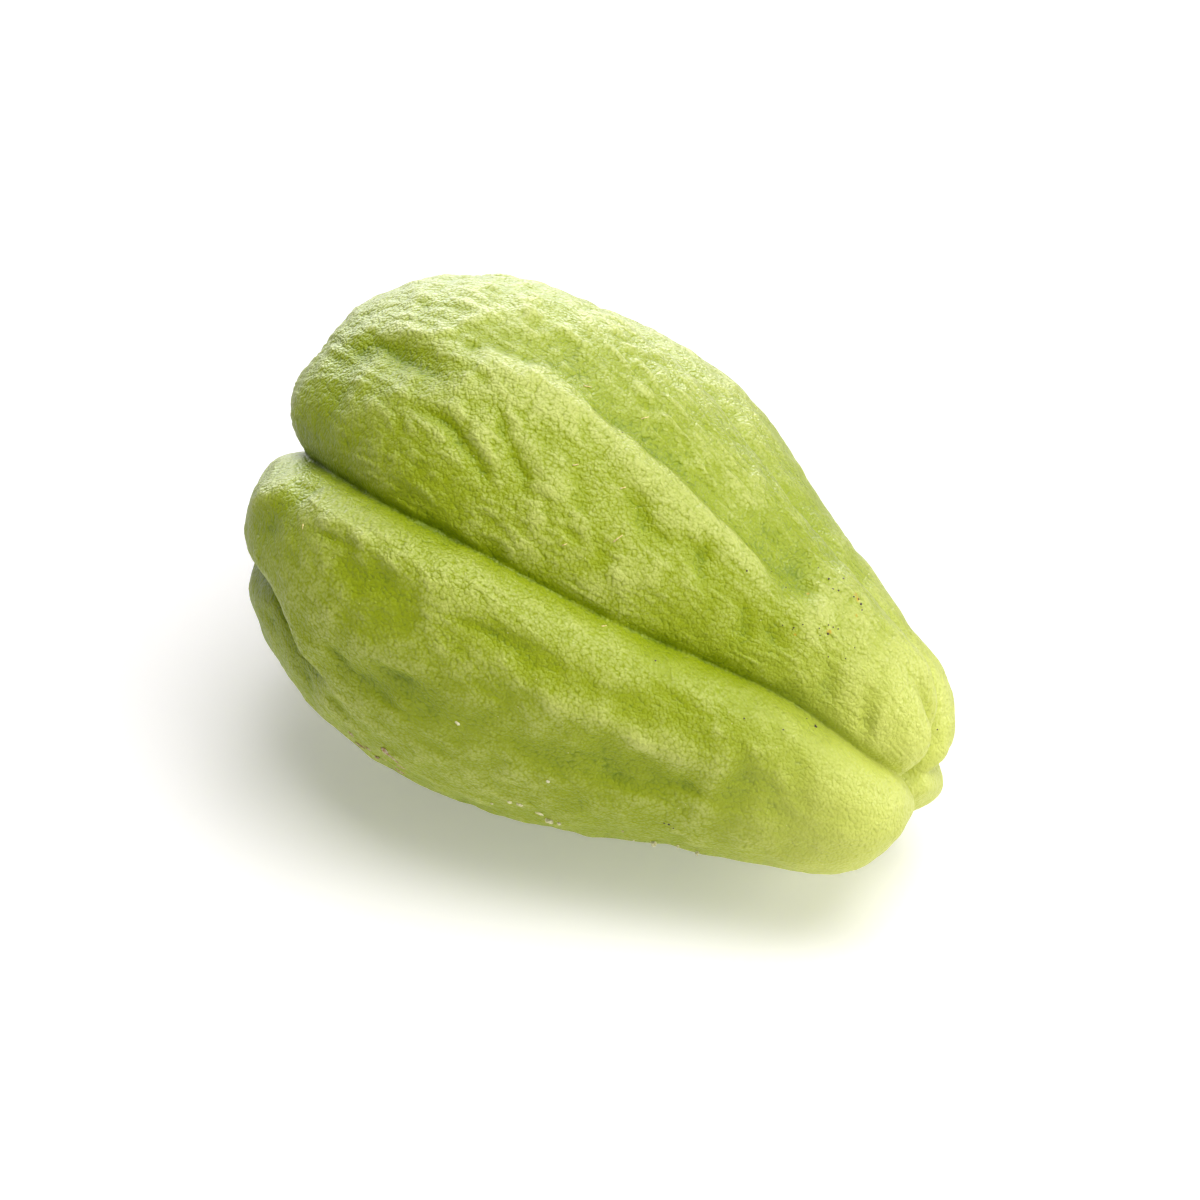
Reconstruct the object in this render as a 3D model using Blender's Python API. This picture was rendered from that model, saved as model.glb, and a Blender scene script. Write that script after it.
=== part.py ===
"""A chayote squash lying on its side: one solid, because the fruit grew as one piece.

The fruit starts as a sphere whose rings follow a pear-shaped outline along X. Five furrows are pressed in along
it, so that five lobes stand between them. The lobes swell or shrink along the fruit, shallow grooves and low ridges
run down them, and broad bumps and dents make them uneven. They end round a puckered mouth at the blossom end and
round the pit of the stalk at the stem end.

The fruit lies with its stem end tipped down, on a small flat spot under its weight. +X points to the stem end and
+Z up. The origin is on the surface that the fruit rests on, in the middle of the fruit's box.

A place on the fruit is given by how far along it lies from the blossom end, in millimetres, and by an angle about
its axis: 0 is up, 90 is towards -Y, 180 is down.
"""
import math

import bmesh
import bpy
import numpy as np
from mathutils import Matrix

MM = 0.001
DEG = math.pi / 180

# Mesh: furrows lie on columns of the sphere, with the same number of columns in each lobe
ROWS = 50
COLUMNS_PER_LOBE = 17
COLUMN_CROWDING = 0.55  # 0 spaces the columns evenly, towards 1 crowds them into the furrows

# How it lies
TILT = 13.3 * DEG  # the stem end tips down
FLAT_SPOT_DEPTH = 1.1 * MM  # how much of the underside is flattened

# Half of the outline, from the blossom end to the stem end: (along, radius) in millimetres
OUTLINE = [
    (0, 0),
    (0.3, 13),
    (4.5, 25.5),
    (14.5, 35.5),
    (30, 42),
    (49.5, 42.8),
    (70.5, 38.2),
    (90.5, 30.5),
    (107, 24.8),
    (118.5, 19.6),
    (126, 11.5),
    (128, 0),
]

# Furrows in the order of their angles. path is (along, angle) and depth is (along, depth). The banks are the widths
# over which the furrow fades out, on the side of the smaller angles and on the side of the larger ones.
PLAIN_DEPTH = [(0, 8), (20, 6.5), (55, 4.5), (90, 4.5), (115, 5.5), (128, 6.5)]
FURROWS = {
    "front": {
        "path": [(0, 58), (16, 55), (50, 51), (84, 48), (95, 44.5), (104, 42.5), (112, 44.5), (128, 49)],
        "depth": [(0, 11), (8, 9), (16, 9), (32, 7.5), (55, 6), (75, 5.8), (96, 6.8), (112, 7.5), (128, 7.5)],
        "banks": (13, 5),
    },
    "low_front": {
        "path": [(0, 140), (55, 144), (105, 146), (128, 150)],
        "depth": PLAIN_DEPTH,
        "banks": (9, 9),
    },
    "low_back": {
        "path": [(0, 206), (55, 204), (105, 190), (128, 182)],
        "depth": PLAIN_DEPTH,
        "banks": (9, 9),
    },
    "back": {
        "path": [(0, 266), (55, 264), (105, 262), (128, 258)],
        "depth": [(0, 11), (8, 9), (20, 6.5), (55, 4.5), (90, 4.5), (115, 5), (128, 6)],
        "banks": (6, 6),
    },
    "top": {
        "path": [(0, 314), (28, 318), (55, 325), (78, 331), (100, 332.5), (116, 329), (128, 324)],
        "depth": [(0, 8), (20, 6.5), (55, 4.5), (90, 3.8), (115, 4), (128, 6)],
        "banks": (8, 7),
    },
}
FURROW_BOTTOM = 0.5  # radius of the rounded bottom of a furrow
FURROW_BLEND = 5  # where furrows meet, the deepest one counts, the more so the higher this is

# Lobes: the angle of the crest, and how much the lobe swells at each place along
LOBES = {
    "upper": (8, [(0, 0), (14, -0.8), (40, -0.5), (85, 0), (118, 0), (128, 0.6)]),
    "front": (88, [(0, -2.6), (12, -1.8), (30, 0), (100, 0.3), (120, 0), (128, -0.8)]),
    "under": (168, [(0, 0), (90, 0), (128, -1)]),
    "low_back": (220, [(0, 0), (100, 0), (128, -0.3)]),
    "back": (294, [(0, -1), (40, 0.4), (65, 0.6), (85, -0.9), (105, -2.2), (128, -1.8)]),
}
LOBE_SPREAD = 26 * DEG
LOBE_FADE_RADIUS = 10  # the swelling fades out inside this radius, towards the two ends

# Shallow grooves down the lobes. A crease has steep banks, a valley has soft ones.
CREASE = 1
VALLEY = 2
GROOVES = [
    {  # the dark fold in the shoulder of the upper lobe
        "path": [(10, 20), (19, 17), (26, 17.5), (36, 20)],
        "depth": [(8, 0), (14, 1.3), (26, 1.5), (36, 0)],
        "banks": (1.8, 4.5),
        "form": VALLEY,
    },
    {  # the long valley down the upper lobe, which ends in a dimple
        "path": [(30, 9), (46, 2), (55, 3.5), (72, 5.5), (90, 5), (98, 6.5)],
        "depth": [(28, 0), (40, 1.3), (60, 2), (80, 2), (94, 2), (100, 0)],
        "banks": (8, 3.5),
        "form": VALLEY,
    },
    {  # the cleft that splits the upper lobe at the stem end
        "path": [(104, 5), (112, 0), (118, -6), (123, -11), (128, -16)],
        "depth": [(99, 0), (108, 0.3), (116, 1.5), (122, 4), (128, 6.5)],
        "banks": (2.5, 3.5),
        "form": CREASE,
    },
    {  # the fold between the front lobe and the underside, at the blossom end
        "path": [(0, 112), (8, 100), (16, 92), (24, 92), (32, 97), (38, 98)],
        "depth": [(0, 4), (12, 6), (24, 6), (31, 3.5), (38, 0)],
        "banks": (1.3, 5),
        "form": CREASE,
    },
    {  # the valley that goes on from that fold to the stem end
        "path": [(34, 94), (44, 88), (64, 87), (84, 86), (96, 84), (104, 79), (116, 82)],
        "depth": [(32, 0), (42, 1), (60, 0.9), (90, 1), (112, 0.9), (120, 0)],
        "banks": (4, 4),
        "form": VALLEY,
    },
    {  # the valley down the middle of the back lobe
        "path": [(12, 292), (50, 290), (95, 296), (118, 300)],
        "depth": [(8, 0), (26, 1.8), (60, 1.1), (100, 1.2), (118, 0)],
        "banks": (5, 5),
        "form": VALLEY,
    },
    {  # the fold in the shoulder of the low lobe at the back
        "path": [(6, 238), (24, 234), (50, 236), (84, 232)],
        "depth": [(4, 0), (14, 2.6), (30, 1.8), (55, 0.9), (86, 0)],
        "banks": (3, 6),
        "form": VALLEY,
    },
]

# Low ridges along the lobes
RIDGES = [
    {  # the crest of the upper lobe, beside its long valley
        "path": [(28, 12), (50, 13), (66, 12.5), (84, 11), (98, 9.5)],
        "height": [(24, 0), (40, 0.6), (60, 0.9), (90, 0.9), (102, 0)],
        "banks": (3, 4),
    },
    {  # the shoulder of the front lobe, above a steeper flank
        "path": [(14, 59), (50, 59), (80, 58), (104, 56)],
        "height": [(8, 0), (24, 0.9), (60, 0.9), (88, 0.7), (108, 0)],
        "banks": (4.5, 3.2),
    },
    {  # a low rib along the middle of the front lobe
        "path": [(50, 68), (70, 70), (100, 74)],
        "height": [(48, 0), (62, 0.5), (90, 0.6), (104, 0)],
        "banks": (2.5, 3.5),
    },
]

# Broad bumps and dents: (along, angle, height, spread along, spread round the fruit)
BUMPS = [
    (3, 45, 3.4, 11, 9),
    (8, 96, -0.8, 16, 18),
    (14, 82, 1.1, 7, 9),
    (10, 116, 0.9, 8, 9),
    (32, 130, -1.4, 22, 18),
    (92, 116, 1.2, 24, 14),
    (119, 118, 1.4, 11, 12),
    (18, 250, 1.2, 14, 12),
    (64, 304, 0.8, 16, 9),
    (86, 240, -0.8, 16, 12),
    (44, 222, -0.7, 12, 10),
]

# The scar of the stalk, a low round knob at the bottom of its pit
SCAR_RADIUS = 5
SCAR_HEIGHT = 1.8

SKIN_COLOUR = (0.40, 0.47, 0.08, 1)
SKIN_ROUGHNESS = 0.45


def cubic(knots, values, slopes, at):
    """The smooth curve through the values at the knots, read at other places."""
    i = np.clip(np.searchsorted(knots, at, side="right") - 1, 0, len(knots) - 2)
    step = knots[i + 1] - knots[i]
    s = (at - knots[i]) / step
    start = (2 * s**3 - 3 * s**2 + 1) * values[i] + (s**3 - 2 * s**2 + s) * step * slopes[i]
    end = (3 * s**2 - 2 * s**3) * values[i + 1] + (s**3 - s**2) * step * slopes[i + 1]
    return start + end


def read_stations(stations, along):
    """A smooth value at each place along, from (along, value) stations."""
    knots, values = np.array(stations, float).T
    return cubic(knots, values, np.gradient(values, knots), np.clip(along, knots[0], knots[-1]))


def read_outline(share):
    """(along, radius) at a share of the way down the outline. The outline crosses the axis squarely at both ends."""
    points = np.array(OUTLINE, float)
    steps = np.hypot(*np.diff(points, axis=0).T)
    knots = np.r_[0, np.cumsum(steps)] / steps.sum()
    slopes = np.gradient(points, knots, axis=0)
    slopes[[0, -1], 0] = 0
    slopes[[0, -1], 1] = [points[1, 1] / knots[1], -points[-2, 1] / (1 - knots[-2])]
    return tuple(cubic(knots, points[:, k], slopes[:, k], share) for k in (0, 1))


def column_angles(share_round, along):
    """The angle of each point from its share of the way round, with the furrows on whole numbers of lobes."""
    paths = np.array([read_stations(furrow["path"], along) for furrow in FURROWS.values()]) * DEG
    paths = np.vstack([paths, paths[:1] + 2 * np.pi])
    lobe = np.minimum((share_round * len(FURROWS)).astype(int), len(FURROWS) - 1)
    across = share_round * len(FURROWS) - lobe
    across = across - COLUMN_CROWDING * np.sin(2 * np.pi * across) / (2 * np.pi)
    point = np.arange(len(along))
    return paths[lobe, point] * (1 - across) + paths[lobe + 1, point] * across


def turn_from(angles, centre):
    """The signed angle from a centre, the short way round."""
    return (angles - centre + np.pi) % (2 * np.pi) - np.pi


def groove_form(angles, along, radius, path, banks, power):
    """1 at the bottom of a groove, fading to 0 over its two banks."""
    across = turn_from(angles, read_stations(path, along) * DEG) * radius
    away = np.sqrt(across**2 + FURROW_BOTTOM**2) - FURROW_BOTTOM
    return np.exp(-(away / np.where(across < 0, *banks)) ** power)


def fruit_points(share_along, share_round):
    """Points of the fruit's surface, in metres, on an axis along X with the blossom end at the origin."""
    along, radius = read_outline(share_along)
    angles = column_angles(share_round, along)

    nearby = 1e-4
    before = read_outline(np.maximum(share_along - nearby, 0))
    after = read_outline(np.minimum(share_along + nearby, 1))
    tangent = np.array(after) - before
    out_x, out_r = np.array([-tangent[1], tangent[0]]) / np.hypot(*tangent)

    fine = np.array(read_outline(np.linspace(0, 1, 2000)))
    travelled = np.r_[0, np.cumsum(np.hypot(*np.diff(fine)))]
    run = np.interp(along, fine[0], travelled)

    inward = 0
    for furrow in FURROWS.values():
        form = groove_form(angles, along, radius, furrow["path"], furrow["banks"], CREASE)
        inward = inward + (read_stations(furrow["depth"], along) * form) ** FURROW_BLEND
    inward = inward ** (1 / FURROW_BLEND)
    for crest, swell in LOBES.values():
        form = np.exp(-((turn_from(angles, crest * DEG) / LOBE_SPREAD) ** 2) / 2)
        inward -= read_stations(swell, along) * form * np.minimum(radius / LOBE_FADE_RADIUS, 1)
    for groove in GROOVES:
        form = groove_form(angles, along, radius, groove["path"], groove["banks"], groove["form"])
        inward += np.maximum(read_stations(groove["depth"], along), 0) * form
    for ridge in RIDGES:
        form = groove_form(angles, along, radius, ridge["path"], ridge["banks"], VALLEY)
        inward -= np.maximum(read_stations(ridge["height"], along), 0) * form
    for bump_along, bump_angle, height, spread_along, spread_round in BUMPS:
        apart = run - np.interp(bump_along, fine[0], travelled)
        across = turn_from(angles, bump_angle * DEG) * radius
        inward -= height * np.exp(-((apart / spread_along) ** 2) - (across / spread_round) ** 2)
    inward -= SCAR_HEIGHT * np.exp(-(((travelled[-1] - run) / SCAR_RADIUS) ** 2))

    along = along - inward * out_x
    radius = radius - inward * out_r
    return np.stack([along, -radius * np.sin(angles), radius * np.cos(angles)], axis=1) * MM


def shape_fruit(bm):
    """A sphere reshaped into the fruit, ring by ring from the blossom end at -Z to the stem end at +Z."""
    bmesh.ops.create_uvsphere(bm, u_segments=COLUMNS_PER_LOBE * len(FURROWS), v_segments=ROWS, radius=1)
    sphere = np.array([v.co for v in bm.verts])
    share_along = 1 - np.arccos(np.clip(sphere[:, 2], -1, 1)) / np.pi
    share_round = np.arctan2(sphere[:, 1], sphere[:, 0]) / (2 * np.pi) % 1
    for v, point in zip(bm.verts, fruit_points(share_along, share_round)):
        v.co = point


def lay_down(bm):
    """Tips the stem end down, flattens the lowest spot at z = 0 and centres the fruit over the origin."""
    bmesh.ops.rotate(bm, verts=bm.verts, cent=(0, 0, 0), matrix=Matrix.Rotation(TILT, 3, "Y"))
    low = min(v.co.z for v in bm.verts)
    bmesh.ops.translate(bm, verts=bm.verts, vec=(0, 0, -low - FLAT_SPOT_DEPTH))
    everything = bm.verts[:] + bm.edges[:] + bm.faces[:]
    bmesh.ops.bisect_plane(bm, geom=everything, plane_co=(0, 0, 0), plane_no=(0, 0, 1), clear_inner=True)
    bmesh.ops.holes_fill(bm, edges=[e for e in bm.edges if e.is_boundary])
    bmesh.ops.recalc_face_normals(bm, faces=bm.faces)
    xs = [v.co.x for v in bm.verts]
    ys = [v.co.y for v in bm.verts]
    middle = (-(min(xs) + max(xs)) / 2, -(min(ys) + max(ys)) / 2, 0)
    bmesh.ops.translate(bm, verts=bm.verts, vec=middle)


def skin_material():
    """Pale yellow-green skin with a satin gloss."""
    material = bpy.data.materials.new("chayote_skin")
    material.use_nodes = True
    shader = material.node_tree.nodes["Principled BSDF"]
    shader.inputs["Base Color"].default_value = SKIN_COLOUR
    shader.inputs["Roughness"].default_value = SKIN_ROUGHNESS
    shader.inputs["Metallic"].default_value = 0
    return material


for old in list(bpy.data.objects):
    bpy.data.objects.remove(old, do_unlink=True)

collection = bpy.data.collections.new("chayote_squash")
bpy.context.scene.collection.children.link(collection)

bm = bmesh.new()
shape_fruit(bm)
lay_down(bm)
mesh = bpy.data.meshes.new("chayote")
bm.to_mesh(mesh)
bm.free()
mesh.shade_smooth()
mesh.materials.append(skin_material())
collection.objects.link(bpy.data.objects.new("chayote", mesh))
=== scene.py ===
import math

import bmesh
import bpy
import numpy as np
from mathutils import Matrix, Vector, noise


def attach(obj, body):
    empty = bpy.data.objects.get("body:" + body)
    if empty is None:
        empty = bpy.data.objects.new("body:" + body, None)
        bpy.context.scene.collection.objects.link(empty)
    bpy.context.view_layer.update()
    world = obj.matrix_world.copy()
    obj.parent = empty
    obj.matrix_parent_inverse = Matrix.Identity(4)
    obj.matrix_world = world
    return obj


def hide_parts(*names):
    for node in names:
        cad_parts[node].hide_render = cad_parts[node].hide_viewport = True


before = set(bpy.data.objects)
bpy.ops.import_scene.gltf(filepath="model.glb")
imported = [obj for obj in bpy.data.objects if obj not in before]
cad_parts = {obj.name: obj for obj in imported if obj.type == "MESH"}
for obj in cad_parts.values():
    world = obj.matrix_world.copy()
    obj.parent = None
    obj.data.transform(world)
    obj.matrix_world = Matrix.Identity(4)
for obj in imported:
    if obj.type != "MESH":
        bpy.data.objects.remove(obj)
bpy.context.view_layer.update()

# The form of the fruit
# A chayote grows in one piece, pear-shaped, with five deep furrows between rounded lobes. They end
# in a puckered mouth at the blossom end and in the pit of the stalk at the stem end. A place on it
# is how far along it is from the blossom end, in mm, and an angle about its axis: 0 up, 90 to -Y.

MM = 0.001
DEG = math.pi / 180
TILT = 13.3 * DEG
FLAT_SPOT_DEPTH = 1.1 * MM

OUTLINE = [  # (along, radius) in mm
    (0, 0),
    (0.3, 13),
    (4.5, 25.5),
    (14.5, 35.5),
    (30, 42),
    (49.5, 42.8),
    (70.5, 38.2),
    (90.5, 30.5),
    (107, 24.8),
    (118.5, 19.6),
    (126, 11.5),
    (128, 0),
]
OUTLINE_STEPS = 2000
FRUIT_LENGTH = OUTLINE[-1][0]

# A path is (along, angle) and a depth (along, mm), and the banks are how wide the two sides are
PLAIN_DEPTH = [(0, 8), (20, 6.5), (55, 4.5), (90, 4.5), (115, 5.5), (128, 6.5)]
FURROWS = {
    "front": {
        "path": [
            (0, 58), (16, 55), (50, 51), (84, 48),
            (95, 44.5), (104, 42.5), (112, 44.5), (128, 49),
        ],
        "depth": [
            (0, 11), (8, 9), (16, 9), (32, 7.5), (55, 6),
            (75, 5.8), (96, 6.8), (112, 7.5), (128, 7.5),
        ],
        "banks": (13, 5),
    },
    "low_front": {
        "path": [(0, 140), (55, 144), (105, 146), (128, 150)],
        "depth": PLAIN_DEPTH,
        "banks": (9, 9),
    },
    "low_back": {
        "path": [(0, 206), (55, 204), (105, 190), (128, 182)],
        "depth": PLAIN_DEPTH,
        "banks": (9, 9),
    },
    "back": {
        "path": [(0, 266), (55, 264), (105, 262), (128, 258)],
        "depth": [(0, 11), (8, 9), (20, 6.5), (55, 4.5), (90, 4.5), (115, 5), (128, 6)],
        "banks": (6, 6),
    },
    "top": {
        "path": [(0, 314), (28, 318), (55, 325), (78, 331), (100, 332.5), (116, 329), (128, 324)],
        "depth": [(0, 8), (20, 6.5), (55, 4.5), (90, 3.8), (115, 4), (128, 6)],
        "banks": (8, 7),
    },
}
FURROW_BOTTOM = 0.5  # how far its sharp bottom is rounded
FURROW_BLEND = 5  # the higher, the less two furrows add up where they meet

LOBES = {  # the angle of the crest, and how far the lobe swells, as (along, mm)
    "upper": (8, [(0, 0), (14, -0.8), (40, -0.5), (85, 0), (118, 0), (128, 0.6)]),
    "front": (88, [(0, -2.6), (12, -1.8), (30, 0), (100, 0.3), (120, 0), (128, -0.8)]),
    "under": (168, [(0, 0), (90, 0), (128, -1)]),
    "low_back": (220, [(0, 0), (100, 0), (128, -0.3)]),
    "back": (294, [(0, -1), (40, 0.4), (65, 0.6), (85, -0.9), (105, -2.2), (128, -1.8)]),
}
LOBE_SPREAD = 26 * DEG
LOBE_FADE_RADIUS = 10  # nearer to the axis than this, the lobes fade out

CREASE = 1  # a groove with a sharp bottom
VALLEY = 2  # and one with a round bottom
GROOVES = [
    {  # the dark fold in the shoulder of the upper lobe
        "path": [(10, 20), (19, 17), (26, 17.5), (36, 20)],
        "depth": [(8, 0), (14, 1.3), (26, 1.5), (36, 0)],
        "banks": (1.8, 4.5),
        "form": VALLEY,
    },
    {  # the long valley down the upper lobe, which ends in a dimple
        "path": [(30, 9), (46, 2), (55, 3.5), (72, 5.5), (90, 5), (98, 6.5)],
        "depth": [(28, 0), (40, 1.3), (60, 2), (80, 2), (94, 2), (100, 0)],
        "banks": (8, 3.5),
        "form": VALLEY,
    },
    {  # the cleft that splits the upper lobe at the stem end
        "path": [(104, 5), (112, 0), (118, -6), (123, -11), (128, -16)],
        "depth": [(99, 0), (108, 0.3), (116, 1.5), (122, 4), (128, 6.5)],
        "banks": (2.5, 3.5),
        "form": CREASE,
    },
    {  # the fold between the front lobe and the underside, at the blossom end
        "path": [(0, 112), (8, 100), (16, 92), (24, 92), (32, 97), (38, 98)],
        "depth": [(0, 4), (12, 6), (24, 6), (31, 3.5), (38, 0)],
        "banks": (1.3, 5),
        "form": CREASE,
    },
    {  # the valley that goes on from that fold to the stem end
        "path": [(34, 94), (44, 88), (64, 87), (84, 86), (96, 84), (104, 79), (116, 82)],
        "depth": [(32, 0), (42, 1), (60, 0.9), (90, 1), (112, 0.9), (120, 0)],
        "banks": (4, 4),
        "form": VALLEY,
    },
    {  # the valley down the middle of the back lobe
        "path": [(12, 292), (50, 290), (95, 296), (118, 300)],
        "depth": [(8, 0), (26, 1.8), (60, 1.1), (100, 1.2), (118, 0)],
        "banks": (5, 5),
        "form": VALLEY,
    },
    {  # the fold in the shoulder of the low lobe at the back
        "path": [(6, 238), (24, 234), (50, 236), (84, 232)],
        "depth": [(4, 0), (14, 2.6), (30, 1.8), (55, 0.9), (86, 0)],
        "banks": (3, 6),
        "form": VALLEY,
    },
]

RIDGES = [
    {  # the crest of the upper lobe, beside its long valley
        "path": [(28, 12), (50, 13), (66, 12.5), (84, 11), (98, 9.5)],
        "height": [(24, 0), (40, 0.6), (60, 0.9), (90, 0.9), (102, 0)],
        "banks": (3, 4),
    },
    {  # the shoulder of the front lobe, above a steeper flank
        "path": [(14, 59), (50, 59), (80, 58), (104, 56)],
        "height": [(8, 0), (24, 0.9), (60, 0.9), (88, 0.7), (108, 0)],
        "banks": (4.5, 3.2),
    },
    {  # a low rib along the middle of the front lobe
        "path": [(50, 68), (70, 70), (100, 74)],
        "height": [(48, 0), (62, 0.5), (90, 0.6), (104, 0)],
        "banks": (2.5, 3.5),
    },
]

BUMPS = [  # (along, angle, height, spread along, spread round the fruit)
    (3, 45, 3.4, 11, 9),
    (8, 96, -0.8, 16, 18),
    (14, 82, 1.1, 7, 9),
    (10, 116, 0.9, 8, 9),
    (32, 130, -1.4, 22, 18),
    (92, 116, 1.2, 24, 14),
    (119, 118, 1.4, 11, 12),
    (18, 250, 1.2, 14, 12),
    (64, 304, 0.8, 16, 9),
    (86, 240, -0.8, 16, 12),
    (44, 222, -0.7, 12, 10),
]
SCAR_RADIUS = 5  # the scar of the stalk stands up in the middle of its pit
SCAR_HEIGHT = 1.8


def cubic(knots, values, slopes, at):
    """The smooth curve through the values at the knots, read at other places."""
    i = np.clip(np.searchsorted(knots, at, side="right") - 1, 0, len(knots) - 2)
    step = knots[i + 1] - knots[i]
    s = (at - knots[i]) / step
    start = (2 * s**3 - 3 * s**2 + 1) * values[i] + (s**3 - 2 * s**2 + s) * step * slopes[i]
    end = (3 * s**2 - 2 * s**3) * values[i + 1] + (s**3 - s**2) * step * slopes[i + 1]
    return start + end


def read_stations(stations, along):
    """A smooth value at each place along, from (along, value) stations."""
    knots, values = np.array(stations, float).T
    return cubic(knots, values, np.gradient(values, knots), np.clip(along, knots[0], knots[-1]))


def read_outline(share):
    """(along, radius) at a share of the outline, which meets the axis squarely at both ends."""
    points = np.array(OUTLINE, float)
    steps = np.hypot(*np.diff(points, axis=0).T)
    knots = np.r_[0, np.cumsum(steps)] / steps.sum()
    slopes = np.gradient(points, knots, axis=0)
    slopes[[0, -1], 0] = 0
    slopes[[0, -1], 1] = [points[1, 1] / knots[1], -points[-2, 1] / (1 - knots[-2])]
    return tuple(cubic(knots, points[:, k], slopes[:, k], share) for k in (0, 1))


def turn_from(angles, centre):
    """The signed angle from a centre, the short way round."""
    return (angles - centre + np.pi) % (2 * np.pi) - np.pi


def groove_form(angles, along, radius, path, banks, power):
    """1 at the bottom of a groove, fading to 0 over its two banks."""
    across = turn_from(angles, read_stations(path, along) * DEG) * radius
    away = np.sqrt(across**2 + FURROW_BOTTOM**2) - FURROW_BOTTOM
    return np.exp(-(away / np.where(across < 0, *banks)) ** power)


def main_depth(along, radius, angles, run, full_run):
    """How deep the skin lies under the plain outline, with its furrows, lobes and bumps, in mm."""
    inward = 0
    for furrow in FURROWS.values():
        form = groove_form(angles, along, radius, furrow["path"], furrow["banks"], CREASE)
        inward = inward + (read_stations(furrow["depth"], along) * form) ** FURROW_BLEND
    inward = inward ** (1 / FURROW_BLEND)
    for crest, swell in LOBES.values():
        form = np.exp(-((turn_from(angles, crest * DEG) / LOBE_SPREAD) ** 2) / 2)
        inward -= read_stations(swell, along) * form * np.minimum(radius / LOBE_FADE_RADIUS, 1)
    for groove in GROOVES:
        form = groove_form(angles, along, radius, groove["path"], groove["banks"], groove["form"])
        inward += np.maximum(read_stations(groove["depth"], along), 0) * form
    for ridge in RIDGES:
        form = groove_form(angles, along, radius, ridge["path"], ridge["banks"], VALLEY)
        inward -= np.maximum(read_stations(ridge["height"], along), 0) * form
    for bump_along, bump_angle, height, spread_along, spread_round in BUMPS:
        apart = run - run_at(bump_along)
        across = turn_from(angles, bump_angle * DEG) * radius
        inward -= height * np.exp(-((apart / spread_along) ** 2) - (across / spread_round) ** 2)
    return inward - SCAR_HEIGHT * np.exp(-(((full_run - run) / SCAR_RADIUS) ** 2))


def run_at(along):
    """The length of the outline from the blossom end to a place along."""
    fine = np.array(read_outline(np.linspace(0, 1, OUTLINE_STEPS)))
    travelled = np.r_[0, np.cumsum(np.hypot(*np.diff(fine)))]
    return np.interp(along, fine[0], travelled)


# The relief of the skin
# The skin is leathery and puffed into folds at the blossom end and smoother towards the stem end,
# with a sharp line down each furrow, and dents and knobs where the photograph shows them. The mesh
# carries all of it, and only the pebbles and the finer unevenness are left to the material.

LUMPS = [(11, 0.35), (6, 0.34), (3.2, 0.26)]  # (size, height) of soft unevenness all over
FOLD_LENGTH = 6
FOLD_WIDTH = 1.45
FOLD_AT_RADIUS = 30  # where the folds have that width
FOLD_LEAN = 0.9  # how far they lean over, as a share of their width
FOLD_SWIRL = 0.9  # how far they wander, and over how many folds
FOLD_SWIRL_SIZE = 2.5
FOLD_SWIRL_SHIFTS = (7, 19, 31)  # take other noise for each direction
FOLD_ROUNDNESS = 0.75
FOLD_RISE = 2  # from the creases to the tops, and how deep the creases are, as shares of the height
FOLD_CREASE = 0.6
FOLD_HEIGHT = [(0, 0.3), (20, 0.44), (45, 0.52), (70, 0.38), (95, 0.25), (128, 0.15)]
FOLD_TOP = 358 * DEG  # the folds are strongest on the top
FOLD_TOP_SPREAD = 36 * DEG
FOLD_ELSEWHERE = 0.4  # of their height on the top
FURROW_LINE_DEPTH = 0.8  # a sharp line at the bottom of each furrow
FURROW_LINE_BANKS = (0.9, 0.9)
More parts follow.
